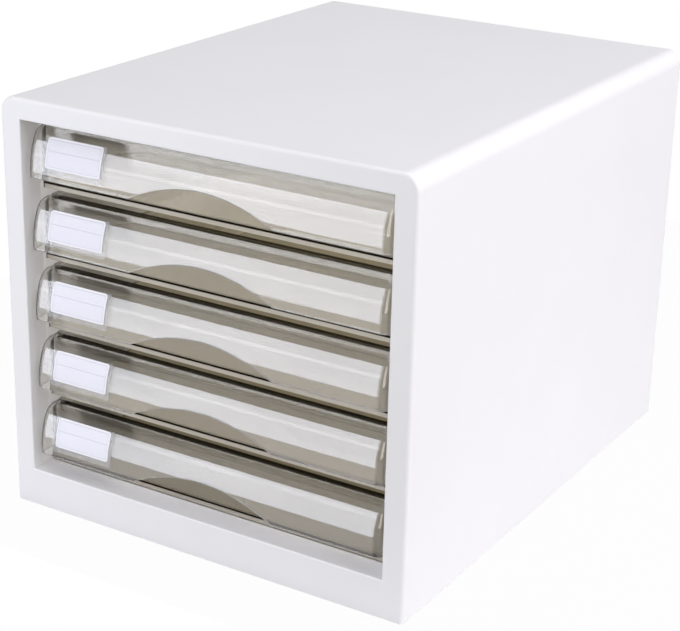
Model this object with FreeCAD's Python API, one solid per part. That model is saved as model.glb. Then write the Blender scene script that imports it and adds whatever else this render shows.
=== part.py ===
"""Desktop drawer unit: a white moulded case with smoke-tinted drawers for A4 paper.

Millimetres, +Z up, the drawers open towards -Y. The origin is on the table, under the middle of the case.
"""
import FreeCAD, Part
import math
import os

V = FreeCAD.Vector

# Case
case_width = 267.0
case_depth = 339.0
case_height = 250.0
case_wall = 3.0
top_corner_radius = 9.0
front_edge_radius = 2.0
stile_width = 13.5
top_rail_height = 12.5
bottom_rail_height = 23.5
reveal_depth = 15.0
reveal_wall = 2.5
sill_rise = 1.0
opening_edge_radius = 0.8
panel_fit = 0.2

# Base and back panels
base_thickness = 2.5
base_recess = 1.0
base_rib_height = 8.0
base_rib_thickness = 2.0
base_rib_count = 3
base_rib_margin = 20.0
back_thickness = 2.5
back_recess = 1.6
back_field_margin = 24.0
back_field_depth = 0.8
back_field_radius = 6.0
back_hook_spread = 75.0
back_hook_width = 24.0
back_hook_height = 5.0
back_hook_thickness = 2.0
back_hook_fit = 0.3

# Feet
foot_width = 14.0
foot_proud = 0.5
foot_inset = 26.0

# Screws and the bosses that take them
screw_shank_radius = 1.45
screw_length = 9.0
screw_head_radius = 2.8
screw_head_height = 1.4
screw_slot_width = 0.9
screw_slot_depth = 0.7
screw_clearance = 0.1
boss_clearance = 0.9
boss_length = 12.0

# Runner panels
liner_wall = 2.0
liner_top_margin = 3.0
ledge_reach = 10.0
ledge_thickness = 1.5
ledge_setback = 30.0
ledge_lead_in = 8.0
stop_lug_width = 5.0
stop_lug_length = 4.0
stop_clearance = 0.7

# Drawers, numbered from the top
drawer_count = 5
side_clearance = 2.0
glide_clearance = 0.3
front_recess = 1.7
finger_gap = 9.6
front_top_clearance = 3.6

# Tray
tray_rear_clearance = 10.0
tray_wall = 2.0
tray_floor = 1.5
tray_inner_radius = 3.0
tray_rear_radius = 5.0
rim_bead_height = 2.5
rim_bead_width = 1.0
rim_bead_setback = 8.0
stop_tab_setback = 43.5
skid_height = 2.6
skid_width = 4.0
skid_inset = 3.0
apron_clearance = 0.2

# Curved front
front_bulge = 14.0
front_wall = 2.0
front_lip = 2.5
front_belly_radius = 50.0
front_end_radius = 4.0
front_fit = 0.1
arch_width = 95.0
arch_height = 12.0
hook_thickness = 1.5
hook_drop = 4.0
hook_end_margin = 6.0

# Label and its pocket
label_width = 38.5
label_height = 17.0
label_thickness = 0.25
label_corner_cut = 0.9
label_from_end = 13.7
label_above_lip = 7.6
pocket_rail = 2.2
pocket_foot = 3.0
pocket_head = 0.3
pocket_sheet = 0.35
pocket_play = 0.1
pocket_glue = 0.05

# Worked out from the sizes above
front_y = -case_depth / 2
back_y = case_depth / 2
case_bottom = foot_proud
base_bottom = case_bottom + base_recess
base_top = base_bottom + base_thickness
back_outer_y = back_y - back_recess
back_face_y = back_outer_y - back_thickness
hook_rib_y = back_face_y - 2 * back_hook_thickness
inner_half_width = case_width / 2 - case_wall
inner_top = case_height - case_wall
half_opening = case_width / 2 - stile_width
opening_bottom = bottom_rail_height
opening_top = case_height - top_rail_height
sill_top = opening_bottom + sill_rise
drawer_pitch = (opening_top - sill_top) / drawer_count
reveal_rear_y = front_y + reveal_depth
boss_space = inner_half_width - half_opening - liner_wall
boss_x = inner_half_width - boss_space / 2
boss_reach = boss_space / 2 - boss_clearance
screw_hole_radius = screw_shank_radius + screw_clearance
ledge_drop = glide_clearance + ledge_thickness
ledge_front_y = front_y + ledge_setback
half_drawer = half_opening - side_clearance
drawer_front_y = front_y + front_recess
tray_front_y = drawer_front_y + front_bulge
tray_back_y = back_face_y - tray_rear_clearance
front_top = drawer_pitch - front_top_clearance
tray_top = front_top - front_wall - front_fit
lug_bottom = tray_top + stop_clearance
lug_y = ledge_front_y + ledge_lead_in
tab_top = drawer_pitch - ledge_drop - stop_clearance
tab_y = tray_back_y - stop_tab_setback - stop_lug_length
curve_base = finger_gap + front_lip
curve_rise = front_top - curve_base
crown_radius = (front_bulge**2 + curve_rise**2 - 2 * front_bulge * front_belly_radius) / (
    2 * (curve_rise - front_belly_radius)
)
label_left = -half_drawer + label_from_end
label_bottom = finger_gap + label_above_lip
pocket_depth = pocket_glue + label_thickness + 2 * pocket_play


def block(x_range, y_range, z_range):
    """A box between two values on each axis."""
    size = [high - low for low, high in (x_range, y_range, z_range)]
    return Part.makeBox(*size, V(x_range[0], y_range[0], z_range[0]))


def on_side(x_low, x_high, side):
    """An x range on the right (side 1) or its mirror image on the left (side -1)."""
    return (x_low, x_high) if side > 0 else (-x_high, -x_low)


def fused(shapes):
    """One solid from overlapping shapes."""
    return shapes[0].multiFuse(shapes[1:]).removeSplitter()


def edges_within(shape, x_range=None, y_range=None, z_range=None):
    """The edges that lie wholly within the ranges given."""
    slack = 1e-4
    found = []
    for edge in shape.Edges:
        box = edge.BoundBox
        spans = ((x_range, box.XMin, box.XMax), (y_range, box.YMin, box.YMax), (z_range, box.ZMin, box.ZMax))
        if all(r is None or (low > r[0] - slack and high < r[1] + slack) for r, low, high in spans):
            found.append(edge)
    return found


def edges_along_y(shape):
    """The straight edges of a box that run from front to back."""
    return [edge for edge in shape.Edges if edge.BoundBox.XLength + edge.BoundBox.ZLength < 1e-3]


def cell_bottom(number):
    """Height of the underside of a drawer's skids; drawer 1 is at the top."""
    return sill_top + (drawer_count - number) * drawer_pitch


# Case shell


def shell_section(inset, bottom, y):
    """Outline across the case, square at the bottom and rounded at both top corners."""
    half = case_width / 2 - inset
    top = case_height - inset
    radius = top_corner_radius - inset
    bend = radius * (1 - math.sqrt(0.5))
    edges = [
        Part.LineSegment(V(-half, y, bottom), V(-half, y, top - radius)),
        Part.Arc(V(-half, y, top - radius), V(-half + bend, y, top - bend), V(-half + radius, y, top)),
        Part.LineSegment(V(-half + radius, y, top), V(half - radius, y, top)),
        Part.Arc(V(half - radius, y, top), V(half - bend, y, top - bend), V(half, y, top - radius)),
        Part.LineSegment(V(half, y, top - radius), V(half, y, bottom)),
        Part.LineSegment(V(half, y, bottom), V(-half, y, bottom)),
    ]
    return Part.Face(Part.Wire([edge.toShape() for edge in edges]))


def screw_places():
    """One on each side, beside the bottom drawer."""
    return [(side * boss_x, sill_top + drawer_pitch / 2) for side in (-1, 1)]


def screw_hole(x, z):
    """The hole for a screw, from the outside of the back panel into the boss."""
    return Part.makeCylinder(screw_hole_radius, screw_length, V(x, back_outer_y, z), V(0, -1, 0))


def make_bosses():
    """Blocks on the side walls that take the screws of the back panel."""
    boss_y = (back_face_y - boss_length, back_face_y)
    bosses = []
    for x, z in screw_places():
        boss_x_range = on_side(boss_x - boss_reach, inner_half_width + case_wall / 2, x)
        bosses.append(block(boss_x_range, boss_y, (z - boss_reach, z + boss_reach)))
    return bosses


def hook_x_ranges():
    """Where the two hooks at the top of the back panel are, from side to side."""
    half = back_hook_width / 2
    return [(x - half, x + half) for x in (-back_hook_spread, back_hook_spread)]


def make_hook_ribs():
    """Ribs under the case's top that the hooks of the back panel catch on."""
    rib_y = (hook_rib_y, hook_rib_y + back_hook_thickness)
    rib_z = (inner_top - back_hook_height, inner_top + case_wall / 2)
    return [block(x_range, rib_y, rib_z) for x_range in hook_x_ranges()]


def make_opening():
    """The front opening as a solid to cut away; its floor rises a little towards the back."""
    near_y = front_y - case_wall
    far_y = front_y + 2 * reveal_depth
    corners = [
        V(-half_opening, near_y, opening_bottom),
        V(-half_opening, front_y, opening_bottom),
        V(-half_opening, reveal_rear_y, sill_top),
        V(-half_opening, far_y, sill_top),
        V(-half_opening, far_y, opening_top),
        V(-half_opening, near_y, opening_top),
    ]
    return Part.Face(Part.makePolygon(corners + corners[:1])).extrude(V(2 * half_opening, 0, 0))


def make_case_shell():
    """Top, sides and front frame in one moulding, open below and behind."""
    shell = shell_section(0, case_bottom, front_y).extrude(V(0, case_depth, 0))
    outline = edges_within(shell, y_range=(front_y, front_y))
    shell = shell.makeFillet(front_edge_radius, [e for e in outline if e.BoundBox.ZMax > case_bottom + 1e-3])
    hollow = shell_section(case_wall, case_bottom - case_wall, front_y + case_wall)
    shell = shell.cut(hollow.extrude(V(0, case_depth, 0)))

    collar = block(
        (-half_opening - reveal_wall, half_opening + reveal_wall),
        (front_y + case_wall / 2, reveal_rear_y),
        (opening_bottom - reveal_wall, opening_top + reveal_wall),
    )
    shell = fused([shell, collar] + make_bosses() + make_hook_ribs())
    shell = shell.cut(make_opening())
    for x, z in screw_places():
        shell = shell.cut(screw_hole(x, z))
    rim_x = (-half_opening, half_opening)
    rim = edges_within(shell, rim_x, (front_y, front_y), (opening_bottom, opening_top))
    return shell.makeFillet(opening_edge_radius, rim)


# Base and back panels


def make_base_panel():
    """Plate that closes the case from below, ribbed on top."""
    half = inner_half_width - panel_fit
    plate_y = (front_y + case_wall + panel_fit, back_face_y - panel_fit)
    pieces = [block((-half, half), plate_y, (base_bottom, base_top))]
    rib_half = half_opening - base_rib_margin
    rib_y = (plate_y[0] + base_rib_margin, plate_y[1] - base_rib_margin)
    rib_z = (base_top - base_thickness / 2, base_top + base_rib_height)
    reach = base_rib_thickness / 2
    for count in range(base_rib_count):
        share = count / (base_rib_count - 1)
        x = rib_half * (2 * share - 1)
        y = rib_y[0] + share * (rib_y[1] - rib_y[0])
        pieces.append(block((x - reach, x + reach), rib_y, rib_z))
        pieces.append(block((-rib_half, rib_half), (y - reach, y + reach), rib_z))
    return fused(pieces)


def make_back_panel():
    """Plate that closes the back: two hooks at the top, and a shallow sunk field that stiffens it."""
    bottom = case_bottom + panel_fit
    panel = shell_section(case_wall + panel_fit, bottom, back_face_y).extrude(V(0, back_thickness, 0))
    field_half = inner_half_width - back_field_margin
    field_x = (-field_half, field_half)
    field_y = (back_outer_y - back_field_depth, back_outer_y + back_thickness)
    field_z = (bottom + back_field_margin, inner_top - back_field_margin)
    field = block(field_x, field_y, field_z)
    panel = panel.cut(field.makeFillet(back_field_radius, edges_along_y(field)))
    for x, z in screw_places():
        panel = panel.cut(screw_hole(x, z))

    arm_top = inner_top - back_hook_height - back_hook_fit
    arm_z = (arm_top - back_hook_thickness, arm_top)
    tip_y = hook_rib_y - back_hook_fit
    arm_y = (tip_y - back_hook_thickness, back_face_y + back_thickness / 2)
    catch_y = (tip_y - back_hook_thickness, tip_y)
    hooks = []
    for x_range in hook_x_ranges():
        hooks.append(block(x_range, arm_y, arm_z))
        hooks.append(block(x_range, catch_y, (arm_z[0], inner_top - back_hook_fit)))
    return fused([panel] + hooks)


# Screws and feet


def make_back_screws():
    """Slotted pan-head screws, all alike, with their heads outside the back panel."""
    outer_y = back_outer_y + screw_head_height
    half_slot = screw_slot_width / 2
    screws = []
    for x, z in screw_places():
        head = Part.makeCylinder(screw_head_radius, screw_head_height, V(x, back_outer_y, z), V(0, 1, 0))
        shank = Part.makeCylinder(screw_shank_radius, screw_length, V(x, outer_y, z), V(0, -1, 0))
        slot_x = (x - screw_head_radius, x + screw_head_radius)
        slot = block(slot_x, (outer_y - screw_slot_depth, outer_y), (z - half_slot, z + half_slot))
        screws.append(fused([head, shank]).cut(slot))
    return Part.makeCompound(screws)


def make_foot_pads():
    """Four square rubber pads glued under the base, proud of the case's lower edge."""
    half = foot_width / 2
    pads = []
    for x in (-case_width / 2 + foot_inset, case_width / 2 - foot_inset):
        for y in (front_y + foot_inset, back_y - foot_inset):
            pads.append(block((x - half, x + half), (y - half, y + half), (0, base_bottom)))
    return Part.makeCompound(pads)


# Runner panels


def make_ledge(side, level):
    """A shelf under a drawer's edge, with a slanted front end that leads the tray in."""
    root = half_opening + liner_wall / 2
    tip = half_opening - ledge_reach
    rear_y = back_face_y - panel_fit
    bottom = level - ledge_drop
    corners = [
        V(side * root, ledge_front_y, bottom),
        V(side * half_opening, ledge_front_y, bottom),
        V(side * tip, ledge_front_y + ledge_lead_in, bottom),
        V(side * tip, rear_y, bottom),
        V(side * root, rear_y, bottom),
    ]
    return Part.Face(Part.makePolygon(corners + corners[:1])).extrude(V(0, 0, ledge_thickness))


def make_runner_panel(side):
    """Liner inside one case wall: a ledge for each drawer, a keeper over the top one, and the stop lugs."""
    root = half_opening + liner_wall / 2
    liner_y = (reveal_rear_y + panel_fit, back_face_y - panel_fit)
    liner_z = (base_top, opening_top + liner_top_margin)
    pieces = [block(on_side(half_opening, half_opening + liner_wall, side), liner_y, liner_z)]
    rib_x = on_side(root, inner_half_width - panel_fit, side)
    lug_x = on_side(half_opening - stop_lug_width, root, side)
    for count in range(drawer_count + 1):
        level = sill_top + count * drawer_pitch
        pieces.append(make_ledge(side, level))
        pieces.append(block(rib_x, liner_y, (level - ledge_drop, level - glide_clearance)))
        if count > 0:
            lug_z = (level - drawer_pitch + lug_bottom, level - glide_clearance)
            pieces.append(block(lug_x, (lug_y, lug_y + stop_lug_length), lug_z))
    return fused(pieces)


# Drawer tray


def make_tray(number):
    """Open tray with a raised floor, an apron at the front, rim beads, stop tabs and skids along its sides."""
    skid_z = cell_bottom(number)
    under_z = skid_z + skid_height
    rim_z = skid_z + tray_top
    body = block((-half_drawer, half_drawer), (tray_front_y, tray_back_y), (under_z, rim_z))
    rear = edges_within(body, y_range=(tray_back_y, tray_back_y))
    body = body.makeFillet(tray_rear_radius, [edge for edge in rear if edge.BoundBox.XLength < 1e-3])

    apron_y = (tray_front_y, tray_front_y + tray_wall)
    apron_z = (skid_z + apron_clearance, under_z + tray_floor / 2)
    pieces = [body, block((-half_drawer, half_drawer), apron_y, apron_z)]
    bead_y = (tray_front_y + rim_bead_setback, tray_back_y - rim_bead_setback)
    skid_tip = half_drawer - skid_inset
    for side in (-1, 1):
        bead_x = on_side(half_drawer - tray_wall, half_drawer + rim_bead_width, side)
        pieces.append(block(bead_x, bead_y, (rim_z - rim_bead_height, rim_z)))
        tab_z = (rim_z - rim_bead_height, skid_z + tab_top)
        pieces.append(block(bead_x, (tab_y, tab_y + stop_lug_length), tab_z))
        skid_x = on_side(skid_tip - skid_width, skid_tip, side)
        pieces.append(block(skid_x, bead_y, (skid_z, under_z + tray_floor / 2)))
    tray = fused(pieces)

    well_top = skid_z + drawer_pitch
    well = block(
        (-half_drawer + tray_wall, half_drawer - tray_wall),
        (tray_front_y + tray_wall, tray_back_y - tray_wall),
        (under_z + tray_floor, well_top),
    )
    upright = [edge for edge in well.Edges if edge.BoundBox.XLength + edge.BoundBox.YLength < 1e-3]
    return tray.cut(well.makeFillet(tray_inner_radius, upright))


# Curved drawer front


def front_outline(inset, bottom, rear_y, skid_z):
    """Side outline of the front: an upright lip, a flat belly arc and a round crown back to the tray.

    The inset moves the curve inwards, or outwards when it is negative.
    """
    belly_centre = V(0, drawer_front_y + front_belly_radius, skid_z + curve_base)
    crown_centre = V(0, tray_front_y, skid_z + front_top - crown_radius)
    joint_angle = math.atan2(crown_centre.z - belly_centre.z, belly_centre.y - crown_centre.y)

    def on_curve(centre, radius, angle):
        return centre + V(0, -math.cos(angle), math.sin(angle)) * (radius - inset)

    nose = on_curve(belly_centre, front_belly_radius, 0)
    joint = on_curve(belly_centre, front_belly_radius, joint_angle)
    crown = on_curve(crown_centre, crown_radius, math.pi / 2)
    mid_belly = on_curve(belly_centre, front_belly_radius, joint_angle / 2)
    mid_crown = on_curve(crown_centre, crown_radius, (joint_angle + math.pi / 2) / 2)
    edges = [Part.Arc(nose, mid_belly, joint).toShape(), Part.Arc(joint, mid_crown, crown).toShape()]
    corners = [crown, V(0, rear_y, crown.z), V(0, rear_y, bottom), V(0, nose.y, bottom), nose]
    edges += [Part.makeLine(start, end) for start, end in zip(corners, corners[1:])]
    return Part.Face(Part.Wire(edges))


def front_form(inset, bottom, rear_y, skid_z):
    """The front's outline run across the drawer."""
    half = half_drawer - inset
    outline = front_outline(inset, bottom, rear_y, skid_z)
    outline.translate(V(-half, 0, 0))
    return outline.extrude(V(2 * half, 0, 0))


def make_drawer_front(number):
    """Hollow visor, open below for the fingers, that hooks over the top edge of the tray's front wall."""
    skid_z = cell_bottom(number)
    lip_z = skid_z + finger_gap
    top_z = skid_z + front_top
    rear_y = tray_front_y - front_fit
    visor = front_form(0, lip_z, tray_front_y + tray_wall, skid_z)
    ends = []
    for edge in visor.Edges:
        box = edge.BoundBox
        if box.XLength < 1e-3 and box.ZLength > 1e-3 and box.YMin < rear_y:
            ends.append(edge)
    visor = visor.makeFillet(front_end_radius, ends)
    visor = visor.cut(front_form(front_wall, lip_z - front_wall, tray_front_y + 2 * tray_wall, skid_z))
    behind_y = (rear_y, tray_front_y + 2 * tray_wall)
    visor = visor.cut(block((-half_drawer, half_drawer), behind_y, (skid_z, top_z + front_wall)))

    hook_half = half_drawer - hook_end_margin
    hook_y = tray_front_y + tray_wall + front_fit
    hook_x = (-hook_half, hook_half)
    flange_z = (top_z - front_wall, top_z)
    flange = block(hook_x, (rear_y - front_fit, hook_y + hook_thickness), flange_z)
    hook = block(hook_x, (hook_y, hook_y + hook_thickness), (flange_z[0] - hook_drop, top_z))
    visor = fused([visor, flange, hook])

    arch_radius = ((arch_width / 2) ** 2 + arch_height**2) / (2 * arch_height)
    arch_axis = V(0, drawer_front_y - front_wall, lip_z + arch_height - arch_radius)
    arch = Part.makeCylinder(arch_radius, front_bulge / 2 + front_wall, arch_axis, V(0, 1, 0))
    return visor.cut(arch)


# Label and its pocket


def curved_sheet(from_front, thickness, x_range, skid_z):
    """A sheet bent to the curve of the front, lying a little in front of it."""
    bottom = skid_z + finger_gap
    rear_y = tray_front_y + tray_wall
    width = V(x_range[1] - x_range[0], 0, 0)
    outer = front_outline(-from_front - thickness, bottom, rear_y, skid_z).extrude(width)
    inner = front_outline(-from_front, bottom, rear_y, skid_z).extrude(width)
    sheet = outer.cut(inner)
    sheet.translate(V(x_range[0], 0, 0))
    return sheet


def sheet_window(x_range, z_range, skid_z):
    """A box that trims a curved sheet to its width and height."""
    window_y = (drawer_front_y - front_bulge, tray_front_y)
    return block(x_range, window_y, (skid_z + z_range[0], skid_z + z_range[1]))


def make_label(number):
    """Paper card with clipped corners, bent to the front's curve."""
    skid_z = cell_bottom(number)
    x_range = (label_left, label_left + label_width)
    z_range = (label_bottom, label_bottom + label_height)
    window = sheet_window(x_range, z_range, skid_z)
    window = window.makeChamfer(label_corner_cut, edges_along_y(window))
    return curved_sheet(pocket_glue + pocket_play, label_thickness, x_range, skid_z).common(window)


def make_label_pocket(number):
    """Clear sleeve glued to the front, open at the top for the card."""
    skid_z = cell_bottom(number)
    x_range = (label_left - pocket_rail, label_left + label_width + pocket_rail)
    z_range = (label_bottom - pocket_foot, label_bottom + label_height + pocket_head)
    thickness = pocket_depth + pocket_sheet - pocket_glue
    sleeve = curved_sheet(pocket_glue, thickness, x_range, skid_z)
    sleeve = sleeve.common(sheet_window(x_range, z_range, skid_z))
    slot_x = (label_left - pocket_play, label_left + label_width + pocket_play)
    slot_z = (label_bottom - pocket_play, z_range[1] + pocket_foot)
    slot = curved_sheet(0, pocket_depth, slot_x, skid_z)
    return sleeve.cut(slot.common(sheet_window(slot_x, slot_z, skid_z)))


# All pieces

pieces = {
    "case_shell": make_case_shell(),
    "base_panel": make_base_panel(),
    "back_panel": make_back_panel(),
    "runner_panel_left": make_runner_panel(-1),
    "runner_panel_right": make_runner_panel(1),
    "back_screws": make_back_screws(),
    "foot_pads": make_foot_pads(),
}
for drawer in range(1, drawer_count + 1):
    pieces[f"drawer_{drawer}_tray"] = make_tray(drawer)
    pieces[f"drawer_{drawer}_front"] = make_drawer_front(drawer)
    pieces[f"drawer_{drawer}_label"] = make_label(drawer)
    pieces[f"drawer_{drawer}_label_pocket"] = make_label_pocket(drawer)

os.makedirs("parts", exist_ok=True)
for name, shape in pieces.items():
    shape.exportStep(os.path.join("parts", name + ".step"))
    print(f"{name}: {len(shape.Solids)} solid(s), valid {shape.isValid()}, {shape.Volume / 1000:.2f} cm3")

travel = tab_y - lug_y - stop_lug_length
print(f"drawer pitch {drawer_pitch:.2f}, crown radius {crown_radius:.2f}, run between stops {travel:.2f}")
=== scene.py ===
import math

import bmesh
import bpy
from mathutils import Matrix, Vector


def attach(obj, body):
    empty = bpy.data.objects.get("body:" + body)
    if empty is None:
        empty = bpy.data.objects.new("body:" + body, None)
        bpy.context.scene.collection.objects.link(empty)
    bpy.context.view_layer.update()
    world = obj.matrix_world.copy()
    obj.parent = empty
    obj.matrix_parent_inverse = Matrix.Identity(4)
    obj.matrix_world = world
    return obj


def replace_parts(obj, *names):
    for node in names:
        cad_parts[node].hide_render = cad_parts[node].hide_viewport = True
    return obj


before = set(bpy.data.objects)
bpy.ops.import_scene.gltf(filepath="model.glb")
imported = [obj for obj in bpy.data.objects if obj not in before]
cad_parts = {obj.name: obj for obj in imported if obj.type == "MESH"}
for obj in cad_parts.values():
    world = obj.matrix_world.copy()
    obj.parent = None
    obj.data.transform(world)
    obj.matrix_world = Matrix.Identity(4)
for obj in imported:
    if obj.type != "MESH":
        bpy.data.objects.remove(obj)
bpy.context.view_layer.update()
bpy.ops.object.select_all(action="DESELECT")

# CASE SHELL
# Top, sides and front frame, injection moulded in one piece from white ABS. It stands on its base
# panel and carries everything else.


def linear(hex_colour):
    """A linear RGBA colour from an sRGB hex value such as F4F3F5."""
    parts = [int(hex_colour[i:i + 2], 16) / 255 for i in (0, 2, 4)]
    return [c / 12.92 if c <= 0.04045 else ((c + 0.055) / 1.055) ** 2.4 for c in parts] + [1.0]


def add(tree, kind, inputs, **settings):
    """Adds a node with its settings. An input given a socket is linked to it, any other value is set."""
    node = tree.nodes.new(kind)
    for name, value in settings.items():
        setattr(node, name, value)
    for name, value in inputs.items():
        if isinstance(value, bpy.types.NodeSocket):
            tree.links.new(value, node.inputs[name])
        else:
            node.inputs[name].default_value = value
    return node


def new_material(name):
    """A material that has no nodes yet."""
    material = bpy.data.materials.new(name)
    material.use_nodes = True
    material.node_tree.nodes.clear()
    return material


def paint_node(node_name, material):
    """Gives a CAD node one material all over."""
    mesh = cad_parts[node_name].data
    mesh.materials.clear()
    mesh.materials.append(material)


# The places of the two colours and of the result among the sockets of a Mix node.
first = 6
second = 7
result = 2

# White ABS from a finely eroded mould: an even satin surface with a soft highlight. The grain is
# drawn at 0.9 mm, coarser than the real 0.2 mm, so that it just shows.
cloud_size = 0.060
grain_size = 0.0009
grain_depth = 0.00003
white_abs = new_material("white_abs_satin")
tree = white_abs.node_tree
place = add(tree, "ShaderNodeTexCoord", {}).outputs["Object"]
cloud = add(tree, "ShaderNodeTexNoise", {"Vector": place, "Scale": 1 / cloud_size, "Detail": 3.0})
grain = add(tree, "ShaderNodeTexNoise", {"Vector": place, "Scale": 1 / grain_size, "Detail": 2.0})
tone = add(tree, "ShaderNodeMix", {
    "Factor": cloud.outputs["Fac"],
    first: linear("EEEDED"),
    second: linear("F2F1F1"),
}, data_type="RGBA")
satin = add(tree, "ShaderNodeMapRange", {"Value": grain.outputs["Fac"], "To Min": 0.38, "To Max": 0.5})
relief = add(tree, "ShaderNodeBump", {
    "Height": grain.outputs["Fac"],
    "Strength": 0.25,
    "Distance": grain_depth,
})
surface = add(tree, "ShaderNodeBsdfPrincipled", {
    "Base Color": tone.outputs[result],
    "Roughness": satin.outputs["Result"],
    "IOR": 1.53,
    "Normal": relief.outputs["Normal"],
})
add(tree, "ShaderNodeOutputMaterial", {"Surface": surface.outputs["BSDF"]})
paint_node("case_shell", white_abs)

# BASE, BACK AND RUNNER PANELS
# Flat mouldings of the same white ABS, set into the case: the base from below, the back from behind,
# and the runner panels upright along both sides, with the ledges that carry the drawers.

for panel in ("base_panel", "back_panel", "runner_panel_left", "runner_panel_right"):
    paint_node(panel, white_abs)

# BACK SCREWS
# Slotted pan-head screws of zinc-plated steel. They hold the lower edge of the back panel, which hooks in
# at its top.

# Bright zinc plating: a pale grey metal with faint cloudy bloom.
bloom_size = 0.0012
zinc = new_material("zinc_plated_steel")
tree = zinc.node_tree
place = add(tree, "ShaderNodeTexCoord", {}).outputs["Object"]
bloom = add(tree, "ShaderNodeTexNoise", {"Vector": place, "Scale": 1 / bloom_size, "Detail": 4.0})
tone = add(tree, "ShaderNodeMix", {
    "Factor": bloom.outputs["Fac"],
    first: linear("B4B7BA"),
    second: linear("CDCFD2"),
}, data_type="RGBA")
dull = add(tree, "ShaderNodeMapRange", {"Value": bloom.outputs["Fac"], "To Min": 0.25, "To Max": 0.45})
surface = add(tree, "ShaderNodeBsdfPrincipled", {
    "Base Color": tone.outputs[result],
    "Metallic": 1.0,
    "Roughness": dull.outputs["Result"],
})
add(tree, "ShaderNodeOutputMaterial", {"Surface": surface.outputs["BSDF"]})
paint_node("back_screws", zinc)

# FOOT PADS
# Square pads of black synthetic rubber, cut from sheet. They stick to the underside of the base and keep
# the case from sliding.

# Solid black rubber: matt, slightly dusty, with a fine skin.
dust_size = 0.002
skin_depth = 0.0001
rubber = new_material("black_pad_rubber")
tree = rubber.node_tree
place = add(tree, "ShaderNodeTexCoord", {}).outputs["Object"]
dust = add(tree, "ShaderNodeTexNoise", {"Vector": place, "Scale": 1 / dust_size, "Detail": 4.0})
tone = add(tree, "ShaderNodeMix", {
    "Factor": dust.outputs["Fac"],
    first: linear("1B1B1C"),
    second: linear("2A2A2B"),
}, data_type="RGBA")
relief = add(tree, "ShaderNodeBump", {
    "Height": dust.outputs["Fac"],
    "Strength": 0.4,
    "Distance": skin_depth,
})
surface = add(tree, "ShaderNodeBsdfPrincipled", {
    "Base Color": tone.outputs[result],
    "Roughness": 0.8,
    "Normal": relief.outputs["Normal"],
})
add(tree, "ShaderNodeOutputMaterial", {"Surface": surface.outputs["BSDF"]})
paint_node("foot_pads", rubber)

# DRAWER TRAYS
# Open boxes moulded in smoke-tinted clear polystyrene, which slide on the ledges of the runner panels.
# They cast no shadow, because the renderer would stop the lamplight that passes through clear walls.

drawer_numbers = range(1, 6)
drawer_pitch = 0.0426
bottom_level = 0.0245
flow_size = 0.045


def smoke_polystyrene(name, tint_low, tint_high, roughness, density):
    """Smoke-tinted polystyrene: clear through a wall and nearly black through an edge."""
    material = new_material(name)
    tree = material.node_tree
    place = add(tree, "ShaderNodeTexCoord", {}).outputs["Object"]
    flow = add(tree, "ShaderNodeTexNoise", {"Vector": place, "Scale": 1 / flow_size, "Detail": 2.0})
    tone = add(tree, "ShaderNodeMix", {
        "Factor": flow.outputs["Fac"],
        first: linear(tint_low),
        second: linear(tint_high),
    }, data_type="RGBA")
    polish = add(tree, "ShaderNodeMapRange", {
        "Value": flow.outputs["Fac"],
        "To Min": roughness,
        "To Max": 1.5 * roughness,
    })
    surface = add(tree, "ShaderNodeBsdfPrincipled", {
        "Base Color": tone.outputs[result],
        "Roughness": polish.outputs["Result"],
        "IOR": 1.59,
        "Transmission Weight": 1.0,
    })
    lamp_ray = add(tree, "ShaderNodeLightPath", {}).outputs["Is Shadow Ray"]
    through = add(tree, "ShaderNodeBsdfTransparent", {"Color": linear("F7F5F2")})
    mixed = add(tree, "ShaderNodeMixShader", {
        "Fac": lamp_ray,
        1: surface.outputs["BSDF"],
        2: through.outputs["BSDF"],
    })
    body = add(tree, "ShaderNodeVolumeAbsorption", {"Color": linear("878174"), "Density": density})
    add(tree, "ShaderNodeOutputMaterial", {
        "Surface": mixed.outputs["Shader"],
        "Volume": body.outputs["Volume"],
    })
    return material


tray_smoke = smoke_polystyrene("smoke_polystyrene_tray", "EDEBE6", "F1F0EB", roughness=0.03, density=40.0)

# Heights above the foot of a tray and places in it, for the lines, light and shade painted on the smoke
# plastic there.
floor_middle = 0.0033
floor_half = 0.0010
floor_line_half = 0.0006
apron_height = 0.0026
side_middle = 0.1175
side_line_half = 0.0003
wall_front = -0.1530
wall_back = -0.1515
stack_foot = 0.02
stack_top = 0.21
tree = tray_smoke.node_tree
surface = tree.nodes["Principled BSDF"]
tone = surface.inputs["Base Color"].links[0].from_socket
place = add(tree, "ShaderNodeTexCoord", {}).outputs["Object"]
spot = add(tree, "ShaderNodeSeparateXYZ", {"Vector": place})
height = add(tree, "ShaderNodeMath", {0: spot.outputs["Z"], 1: bottom_level}, operation="SUBTRACT")
height = add(tree, "ShaderNodeMath", {0: height.outputs[0], 1: drawer_pitch}, operation="MODULO")

# Painted shade: where the floor and the sides meet the front wall the way through the plastic is long, and
# the darkness seen along it is painted there as dark lines.
floor_line = add(tree, "ShaderNodeMath", {0: height.outputs[0], 1: floor_middle, 2: floor_line_half},
                 operation="COMPARE")
aside = add(tree, "ShaderNodeMath", {0: spot.outputs["X"]}, operation="ABSOLUTE")
side_line = add(tree, "ShaderNodeMath", {0: aside.outputs[0], 1: side_middle, 2: side_line_half},
                operation="COMPARE")
line = add(tree, "ShaderNodeMath", {0: floor_line.outputs[0], 1: side_line.outputs[0]}, operation="MAXIMUM")
front = add(tree, "ShaderNodeMath", {0: spot.outputs["Y"], 1: wall_front}, operation="LESS_THAN")
line = add(tree, "ShaderNodeMath", {0: line.outputs[0], 1: front.outputs[0]}, operation="MULTIPLY")

# Painted light: the apron of the front wall under the floor is painted pale and half matt, for the light
# that runs inside the wall and comes out there.
low = add(tree, "ShaderNodeMath", {0: height.outputs[0], 1: apron_height}, operation="LESS_THAN")
apron = add(tree, "ShaderNodeMath", {0: low.outputs[0], 1: front.outputs[0]}, operation="MULTIPLY")
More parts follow.
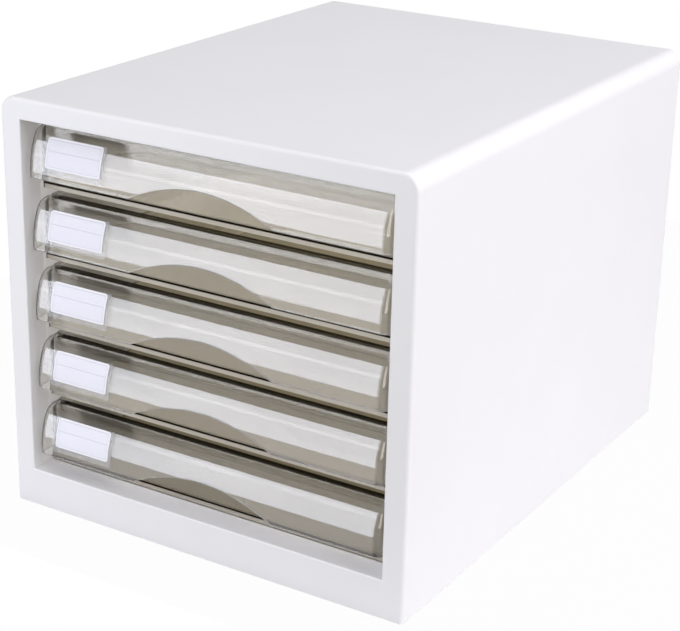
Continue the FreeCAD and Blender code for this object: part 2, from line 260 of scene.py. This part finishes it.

# Painted light: the floor behind the wall, seen at a low angle, is painted half matt and olive, for the
# light carried along the smoke plastic.
plate = add(tree, "ShaderNodeMath", {0: height.outputs[0], 1: floor_middle, 2: floor_half},
            operation="COMPARE")
behind = add(tree, "ShaderNodeMath", {0: spot.outputs["Y"], 1: wall_back}, operation="GREATER_THAN")
plate = add(tree, "ShaderNodeMath", {0: plate.outputs[0], 1: behind.outputs[0]}, operation="MULTIPLY")

# Painted shade: the tint deepens from the top of the stack to its foot, for the light lost on its way
# down through the trays.
stack_shade_amount = add(tree, "ShaderNodeMapRange", {
    "Value": spot.outputs["Z"],
    "From Min": stack_foot,
    "From Max": stack_top,
    "To Min": 1.0,
    "To Max": 0.0,
})
# Painted light: the apron is drawn pale, for the light that comes out of it.
painted_apron_light = add(tree, "ShaderNodeMix", {"Factor": apron.outputs[0], first: tone, second: linear("D6D0C4")},
           data_type="RGBA")
# Painted shade: the dark lines along the plastic are drawn near black.
painted_dark_lines = add(tree, "ShaderNodeMix", {
    "Factor": line.outputs[0],
    first: painted_apron_light.outputs[result],
    second: linear("17150F"),
}, data_type="RGBA")
# Painted light: the floor is drawn olive, for the light carried along the plastic.
painted_olive_light = add(tree, "ShaderNodeMix", {
    "Factor": plate.outputs[0],
    first: painted_dark_lines.outputs[result],
    second: linear("B2AA94"),
}, data_type="RGBA")
# Painted shade: darker towards the foot of the stack.
painted_stack_shade = add(tree, "ShaderNodeMix", {
    "Factor": stack_shade_amount.outputs["Result"],
    first: painted_olive_light.outputs[result],
    second: linear("EAE7E2"),
}, data_type="RGBA", blend_type="MULTIPLY")
tree.links.new(painted_stack_shade.outputs[result], surface.inputs["Base Color"])

# The painted apron and floor let half of the light through, and the painted dark lines let none through
# and don't shine.
half_apron = add(tree, "ShaderNodeMath", {0: apron.outputs[0], 1: 0.5}, operation="MULTIPLY")
half_plate = add(tree, "ShaderNodeMath", {0: plate.outputs[0], 1: 0.5}, operation="MULTIPLY")
matt = add(tree, "ShaderNodeMath", {0: half_apron.outputs[0], 1: line.outputs[0]}, operation="MAXIMUM")
matt = add(tree, "ShaderNodeMath", {0: matt.outputs[0], 1: half_plate.outputs[0]}, operation="MAXIMUM")
clear = add(tree, "ShaderNodeMapRange", {"Value": matt.outputs[0], "To Min": 0.98, "To Max": 0.0})
tree.links.new(clear.outputs["Result"], surface.inputs["Transmission Weight"])
shine = add(tree, "ShaderNodeMapRange", {"Value": line.outputs[0], "To Min": 0.5, "To Max": 0.0})
tree.links.new(shine.outputs["Result"], surface.inputs["Specular IOR Level"])
for number in drawer_numbers:
    paint_node(f"drawer_{number}_tray", tray_smoke)
    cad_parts[f"drawer_{number}_tray"].visible_shadow = False

# CURVED DRAWER FRONTS
# Hollow visors moulded in the same smoke polystyrene and polished. A flange along the top hooks over the
# front wall of the tray; the lower edge is free, with a shallow arch for the fingers.

half_width = 0.118
visor_wall = 0.002
tray_face = -0.1538
nose = -0.1678
top_level = bottom_level + (len(drawer_numbers) - 1) * drawer_pitch
lip_edge = top_level + 0.0096
lip_top = top_level + 0.0121
crest = top_level + 0.0390
crown_radius = 0.0104
belly_radius = 0.050
end_radius = 0.005
hook_half = 0.112
flange_depth = 0.0021
hook_wall = 0.0015
hook_drop = 0.004
arch_radius = 0.1
arch_rise = 0.012
edge_rounding = 0.0003
sharp_edge = math.radians(40)
smooth_edge = math.radians(35)
hair = 0.00001


def pick(kind, test):
    """In edit mode, selects only the vertices, edges or faces that pass the test."""
    mesh = bmesh.from_edit_mesh(bpy.context.object.data)
    bpy.ops.mesh.select_mode(type=kind)
    bpy.ops.mesh.select_all(action="DESELECT")
    for item in {"VERT": mesh.verts, "EDGE": mesh.edges, "FACE": mesh.faces}[kind]:
        if test(item):
            item.select_set(True)
    mesh.select_flush_mode()
    bmesh.update_edit_mesh(bpy.context.object.data)


def middle(item):
    """The middle of an edge or face."""
    return sum((vertex.co for vertex in item.verts), Vector()) / len(item.verts)


def extrude(move):
    """In edit mode, extrudes what is selected."""
    bpy.ops.mesh.extrude_region_move(TRANSFORM_OT_translate={"value": move})


def cut_across(place, normal):
    """Adds an edge loop where a plane crosses the whole mesh."""
    bpy.ops.mesh.select_all(action="SELECT")
    bpy.ops.mesh.bisect(plane_co=place, plane_no=normal)


def finish_with(kind, **settings):
    """Adds a modifier to the object at hand and applies it."""
    modifier = bpy.context.object.modifiers.new(kind.lower(), kind)
    for name, value in settings.items():
        setattr(modifier, name, value)
    bpy.ops.object.modifier_apply(modifier=modifier.name)


def copy_down(piece, number):
    """Gives a drawer its own copy of a piece modelled on the top drawer."""
    twin = piece
    if number > 1:
        twin = piece.copy()
        twin.data = piece.data.copy()
        twin.name = piece.name.replace("_1_", f"_{number}_")
        bpy.context.scene.collection.objects.link(twin)
        twin.data.transform(Matrix.Translation((0, 0, -(number - 1) * drawer_pitch)))
    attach(twin, f"drawer_{number}")
    return twin


# The outline of the visor's end is drawn from one point: crown, belly, lip, and back to the tray.
bpy.ops.mesh.primitive_plane_add(size=0.001, location=(-half_width, tray_face, crest))
visor = bpy.context.object
visor.name = "drawer_1_visor"
bpy.ops.object.transform_apply(location=True, rotation=False, scale=False)
bpy.ops.object.mode_set(mode="EDIT")
bpy.ops.mesh.merge(type="CENTER")
crown_centre = Vector((-half_width, tray_face, crest - crown_radius))
belly_centre = Vector((-half_width, nose + belly_radius, lip_top))
belly_turn = math.atan2(crown_centre.z - belly_centre.z, belly_centre.y - crown_centre.y)
bpy.ops.mesh.spin(steps=24, angle=math.pi / 2 - belly_turn, center=crown_centre, axis=(-1, 0, 0))
bpy.ops.mesh.spin(steps=12, angle=belly_turn, center=belly_centre, axis=(-1, 0, 0))
extrude((0, 0, lip_edge - lip_top))
extrude((0, tray_face - nose, 0))

# The outline is filled, run across the drawer and rounded at both ends.
bpy.ops.mesh.select_all(action="SELECT")
bpy.ops.mesh.edge_face_add()
extrude((2 * half_width, 0, 0))
bpy.ops.mesh.select_all(action="SELECT")
bpy.ops.mesh.normals_make_consistent(inside=False)
pick("EDGE", lambda edge: all(abs(abs(vertex.co.x) - half_width) < hair for vertex in edge.verts)
     and abs(edge.verts[0].co.x - edge.verts[1].co.x) < hair
     and middle(edge).z > lip_edge + hair and middle(edge).y < tray_face - hair)
bpy.ops.mesh.bevel(offset=end_radius, segments=8, affect="EDGES")

# Without its underside and back the form is a shell, which gets its wall inwards.
pick("FACE", lambda face: face.normal.z < -0.9 or face.normal.y > 0.9)
bpy.ops.mesh.delete(type="FACE")
bpy.ops.object.mode_set(mode="OBJECT")
finish_with("SOLIDIFY", thickness=visor_wall, offset=-1.0, use_even_offset=True)

# The flange runs back from the top edge and its hook drops behind the tray wall.
bpy.ops.object.mode_set(mode="EDIT")
for side in (-1, 1):
    cut_across((side * hook_half, 0, 0), (1, 0, 0))
pick("FACE", lambda face: face.normal.y > 0.9 and abs(middle(face).x) < hook_half
     and middle(face).z > crest - visor_wall - 10 * hair)
extrude((0, flange_depth, 0))
extrude((0, hook_wall, 0))
pick("FACE", lambda face: face.normal.z < -0.9 and tray_face + flange_depth < middle(face).y
     and abs(middle(face).x) < hook_half)
extrude((0, 0, -hook_drop))
bpy.ops.object.mode_set(mode="OBJECT")

# The finger arch is cut with a round bar, which stops in front of the tray.
bar_length = 0.010
bar_middle = (0, -0.1650, lip_edge + arch_rise - arch_radius)
bpy.ops.mesh.primitive_cylinder_add(vertices=240, radius=arch_radius, depth=bar_length, location=bar_middle,
                                    rotation=(math.pi / 2, 0, 0))
bar = bpy.context.object
bpy.ops.object.select_all(action="DESELECT")
visor.select_set(True)
bpy.context.view_layer.objects.active = visor
finish_with("BOOLEAN", object=bar, operation="DIFFERENCE", solver="EXACT")
bpy.data.objects.remove(bar)
bpy.ops.object.mode_set(mode="EDIT")
bpy.ops.mesh.select_all(action="SELECT")
bpy.ops.mesh.remove_doubles(threshold=15 * hair)
bpy.ops.object.mode_set(mode="OBJECT")

# The walls are clear and the moulded lower edge is frosted. The top of the flange, where the eye looks
# along the plastic, gets a dark tint: a painted dark line for the darkness seen along the plastic.
visor.data.materials.clear()
for smoke in (
    smoke_polystyrene("smoke_polystyrene_front", "F3F2F0", "F7F6F4", roughness=0.01, density=35.0),
    smoke_polystyrene("smoke_polystyrene_edge", "F3F2EF", "F7F5F2", roughness=0.4, density=20.0),
    # The flange tint is painted dark, for the darkness seen along the plastic.
    smoke_polystyrene("smoke_polystyrene_flange", "5E5746", "686150", roughness=0.05, density=300.0),
):
    visor.data.materials.append(smoke)
bpy.ops.object.mode_set(mode="EDIT")
visor.active_material_index = visor.data.materials.find("smoke_polystyrene_edge")
pick("FACE", lambda face: face.normal.z < -0.3 and abs(face.normal.y) < 0.3
     and middle(face).z < lip_edge + arch_rise + 20 * hair)
bpy.ops.object.material_slot_assign()
visor.active_material_index = visor.data.materials.find("smoke_polystyrene_flange")
pick("FACE", lambda face: middle(face).y > tray_face + 20 * hair and middle(face).z > crest - 30 * hair)
bpy.ops.object.material_slot_assign()
bpy.ops.object.mode_set(mode="OBJECT")
finish_with("BEVEL", width=edge_rounding, segments=2, limit_method="ANGLE", angle_limit=sharp_edge,
            use_clamp_overlap=False)
bpy.ops.object.shade_smooth_by_angle(angle=smooth_edge)
finish_with("WEIGHTED_NORMAL", mode="FACE_AREA", weight=100, keep_sharp=True)
for number in drawer_numbers:
    twin = copy_down(visor, number)
    twin.visible_shadow = False
    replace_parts(twin, f"drawer_{number}_front")

# LABEL CARDS
# White paper cards, cut with round corners and printed with a grey frame and one ruled line. They slip
# into the pockets and bend to the curve of the front.

label_width = 0.0385
label_height = 0.017
label_left = 0.0137
label_foot = 0.0076
label_corner = 0.0016
label_gap = 0.0004
label_thickness = 0.00025
label_strips = 24
label_start = 0.010
label_middle = Vector((
    -half_width + label_left + label_width / 2,
    nose - label_start,
    lip_edge + label_foot + label_height / 2,
))

bpy.ops.object.select_all(action="DESELECT")
bpy.ops.mesh.primitive_plane_add(size=1, location=label_middle, rotation=(math.pi / 2, 0, 0))
label = bpy.context.object
label.name = "drawer_1_card"
label.scale = (label_width, label_height, 1)
bpy.ops.object.transform_apply(location=True, rotation=True, scale=True)
bpy.ops.object.mode_set(mode="EDIT")
bpy.ops.mesh.select_all(action="SELECT")
bpy.ops.mesh.bevel(offset=label_corner, segments=6, affect="VERTICES")
for strip in range(1, label_strips):
    fold = label_middle.z - label_height / 2 + strip * label_height / label_strips
    cut_across((0, 0, fold), (0, 0, 1))
bpy.ops.object.mode_set(mode="OBJECT")
finish_with("SHRINKWRAP", target=visor, wrap_method="PROJECT", use_project_y=True,
            use_positive_direction=True, use_negative_direction=False, offset=label_gap)
finish_with("SOLIDIFY", thickness=label_thickness, offset=-1.0)
bpy.ops.object.shade_smooth_by_angle(angle=smooth_edge)

# Coated white card: matt, a faint fibre mottle, and a pale lilac field with thin grey lines, printed 1.1 mm
# inside its edges.
fibre_size = 0.0015
print_margin = 0.0011
ink_half = 0.00016
rule_height = 0.0013
card = new_material("label_card_paper")
tree = card.node_tree
place = add(tree, "ShaderNodeTexCoord", {}).outputs["Object"]
fibre = add(tree, "ShaderNodeTexNoise", {"Vector": place, "Scale": 1 / fibre_size, "Detail": 5.0})
tone = add(tree, "ShaderNodeMix", {
    "Factor": fibre.outputs["Fac"],
    first: linear("F2F2F5"),
    second: linear("F8F8FA"),
}, data_type="RGBA")
chart = add(tree, "ShaderNodeTexCoord", {}).outputs["UV"]
chart = add(tree, "ShaderNodeVectorMath", {0: chart, 1: (0.5, 0.5, 0.0)}, operation="SUBTRACT")
chart = add(tree, "ShaderNodeVectorMath", {0: chart.outputs[0], 1: (label_width, label_height, 0.0)},
            operation="MULTIPLY")
apart = add(tree, "ShaderNodeVectorMath", {0: chart.outputs[0]}, operation="ABSOLUTE")
apart = add(tree, "ShaderNodeSeparateXYZ", {"Vector": apart.outputs[0]})
level = add(tree, "ShaderNodeSeparateXYZ", {"Vector": chart.outputs[0]})
across = add(tree, "ShaderNodeMath", {0: label_width / 2 - print_margin, 1: apart.outputs["X"]},
             operation="SUBTRACT")
up = add(tree, "ShaderNodeMath", {0: label_height / 2 - print_margin, 1: apart.outputs["Y"]},
         operation="SUBTRACT")
inset = add(tree, "ShaderNodeMath", {0: across.outputs[0], 1: up.outputs[0]}, operation="MINIMUM")
within = add(tree, "ShaderNodeMath", {0: inset.outputs[0], 1: 0.0}, operation="GREATER_THAN")
border = add(tree, "ShaderNodeMath", {0: inset.outputs[0], 1: 0.0, 2: ink_half}, operation="COMPARE")
ruled = add(tree, "ShaderNodeMath", {0: level.outputs["Y"], 1: rule_height, 2: ink_half},
            operation="COMPARE")
ruled = add(tree, "ShaderNodeMath", {0: ruled.outputs[0], 1: within.outputs[0]}, operation="MULTIPLY")
ink = add(tree, "ShaderNodeMath", {0: border.outputs[0], 1: ruled.outputs[0]}, operation="MAXIMUM")
field = add(tree, "ShaderNodeMix", {
    "Factor": within.outputs[0],
    first: tone.outputs[result],
    second: linear("E7E6ED"),
}, data_type="RGBA")
printed = add(tree, "ShaderNodeMix", {
    "Factor": ink.outputs[0],
    first: field.outputs[result],
    second: linear("BDBBC6"),
}, data_type="RGBA")
surface = add(tree, "ShaderNodeBsdfPrincipled", {"Base Color": printed.outputs[result], "Roughness": 0.75})
add(tree, "ShaderNodeOutputMaterial", {"Surface": surface.outputs["BSDF"]})
label.data.materials.clear()
label.data.materials.append(card)
for number in drawer_numbers:
    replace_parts(copy_down(label, number), f"drawer_{number}_label")

# LABEL POCKETS
# Clear folded sleeves glued to the fronts, which hold the cards and are open at the top. Like the other
# clear pieces they cast no shadow.

# Matt clear polypropylene film: colourless, with a soft haze that keeps glare off the card.
ripple_size = 0.012
film = new_material("clear_pocket_film")
tree = film.node_tree
place = add(tree, "ShaderNodeTexCoord", {}).outputs["Object"]
ripple = add(tree, "ShaderNodeTexNoise", {"Vector": place, "Scale": 1 / ripple_size, "Detail": 2.0})
polish = add(tree, "ShaderNodeMapRange", {"Value": ripple.outputs["Fac"], "To Min": 0.35, "To Max": 0.42})
surface = add(tree, "ShaderNodeBsdfPrincipled", {
    "Base Color": linear("E6E6EA"),
    "Roughness": polish.outputs["Result"],
    "IOR": 1.49,
    "Alpha": 0.16,
})
add(tree, "ShaderNodeOutputMaterial", {"Surface": surface.outputs["BSDF"]})
for number in drawer_numbers:
    paint_node(f"drawer_{number}_label_pocket", film)
    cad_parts[f"drawer_{number}_label_pocket"].visible_shadow = False

# FLOOR
# A plain white table top that fades into the white surroundings. It takes the object's shadow and is no
# part of it.

table_size = 0.8
table_middle = (0.0, 0.18, -0.0002)
table_white = 0.97


def seen_ray(tree, paths):
    """1 for a ray that the eye follows, also mirrored or through clear plastic, and 0 for other light."""
    seen = paths.outputs["Is Camera Ray"]
    for ray in ("Is Glossy Ray", "Is Transmission Ray"):
        seen = add(tree, "ShaderNodeMath", {0: seen, 1: paths.outputs[ray]}, operation="MAXIMUM").outputs[0]
    return seen


bpy.ops.object.select_all(action="DESELECT")
bpy.ops.mesh.primitive_plane_add(size=table_size, location=table_middle)
floor = bpy.context.object
floor.name = "floor"
table = new_material("white_table")
tree = table.node_tree
paths = add(tree, "ShaderNodeLightPath", {})
paint = add(tree, "ShaderNodeBsdfDiffuse", {"Color": linear("BEBEC0")})
glow = add(tree, "ShaderNodeEmission", {"Color": linear("FFFFFF"), "Strength": 1.0})
share = add(tree, "ShaderNodeMath", {0: seen_ray(tree, paths), 1: table_white}, operation="MULTIPLY")
mixed = add(tree, "ShaderNodeMixShader", {
    "Fac": share.outputs[0],
    1: paint.outputs["BSDF"],
    2: glow.outputs["Emission"],
})
add(tree, "ShaderNodeOutputMaterial", {"Surface": mixed.outputs["Shader"]})
floor.data.materials.append(table)

# LIGHT
# Soft studio light in white surroundings, from the front, the right, above and behind. The curved fronts
# mirror the front left box and its brighter core as a white band. The inside lamp reaches only the trays,
# cards and inner panels, to which real light comes through the clear and white plastic.


def softbox(name, place, target, width, height, radiance, colour):
    """A rectangular lamp that faces its target; radiance 1 looks as bright as white paper."""
    lamp = bpy.data.lights.new(name, "AREA")
    lamp.shape = "RECTANGLE"
    lamp.size = width
    lamp.size_y = height
    lamp.energy = radiance * math.pi * width * height
    lamp.color = linear(colour)[:3]
    holder = bpy.data.objects.new(name, lamp)
    bpy.context.scene.collection.objects.link(holder)
    holder.location = place
    holder.rotation_euler = (Vector(target) - Vector(place)).to_track_quat("-Z", "Y").to_euler()
    return holder


softbox("softbox_front_left", place=(-0.805, -1.17, 0.275), target=(-0.805, 0.0, 0.275),
        width=0.89, height=0.83, radiance=4.7, colour="EEF2FF")
softbox("softbox_core", place=(-0.805, -1.165, 0.32), target=(-0.805, 0.0, 0.32),
        width=0.89, height=0.08, radiance=1.1, colour="F6F8FF")
softbox("softbox_low", place=(-0.805, -1.17, -0.44), target=(-0.805, 0.0, -0.44),
        width=0.89, height=0.60, radiance=0.9, colour="FFFAF4")
softbox("softbox_right", place=(1.45, 0.05, 0.75), target=(0.0, 0.0, 0.12),
        width=1.2, height=1.0, radiance=5.0, colour="FAF9FF")
softbox("softbox_top", place=(0.1, -0.1, 1.7), target=(0.0, 0.0, 0.2),
        width=1.4, height=1.4, radiance=1.85, colour="FAF9FF")
back_lamp = softbox("softbox_back", place=(-1.0, 1.3, 0.5), target=(0.0, 0.0, 0.12),
                    width=1.0, height=0.8, radiance=2.2, colour="FAF9FF")
back_lamp.visible_glossy = False
softbox("softbox_fill", place=(0.75, -1.3, 0.45), target=(0.0, -0.17, 0.12),
        width=0.9, height=0.7, radiance=2.8, colour="FFFBF6")
inner_lamp = softbox("softbox_inside", place=(0.0, 0.03, 0.50), target=(0.0, 0.03, 0.0),
                     width=0.24, height=0.28, radiance=4.8, colour="FFFCF6")
inner_lamp.visible_glossy = False
inner_lamp.visible_transmission = False
inner_pieces = bpy.data.collections.new("inner_pieces")
for number in drawer_numbers:
    inner_pieces.objects.link(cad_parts[f"drawer_{number}_tray"])
    inner_pieces.objects.link(bpy.data.objects[f"drawer_{number}_card"])
for panel in ("back_panel", "runner_panel_left", "runner_panel_right"):
    inner_pieces.objects.link(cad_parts[panel])
inner_lamp.light_linking.receiver_collection = inner_pieces
inner_lamp.light_linking.blocker_collection = inner_pieces

# The surroundings look white, give the object a little light, and are darker in its gloss.
ambient = 0.16
mirror_loss = 0.3
surroundings = bpy.data.worlds.new("white_surroundings")
surroundings.use_nodes = True
bpy.context.scene.world = surroundings
tree = surroundings.node_tree
tree.nodes.clear()
paths = add(tree, "ShaderNodeLightPath", {})
level = add(tree, "ShaderNodeMapRange", {"Value": seen_ray(tree, paths), "To Min": ambient, "To Max": 1.0})
mirror = add(tree, "ShaderNodeMath", {0: paths.outputs["Is Glossy Ray"], 1: mirror_loss},
             operation="MULTIPLY")
level = add(tree, "ShaderNodeMath", {0: level.outputs["Result"], 1: mirror.outputs[0]}, operation="SUBTRACT")
sky = add(tree, "ShaderNodeBackground", {"Color": linear("FFFFFF"), "Strength": level.outputs[0]})
add(tree, "ShaderNodeOutputWorld", {"Surface": sky.outputs["Background"]})

# CAMERA
# Stands at the front right, a little above the unit, as the photograph's camera did. It has a long lens and
# is rolled slightly.

camera_place = (0.5329, -0.9017, 0.4977)
view = bpy.data.cameras.new("camera")
view.sensor_fit = "HORIZONTAL"
view.sensor_width = 36.0
view.lens = 95.0
camera = bpy.data.objects.new("camera", view)
bpy.context.scene.collection.objects.link(camera)
turn = Matrix.Rotation(math.radians(31.15), 4, "Z")
tilt = Matrix.Rotation(math.radians(90 - 21.08), 4, "X")
roll = Matrix.Rotation(math.radians(1.37), 4, "Z")
camera.matrix_world = Matrix.Translation(camera_place) @ turn @ tilt @ roll
bpy.context.scene.camera = camera
bpy.context.scene.view_settings.view_transform = "Standard"
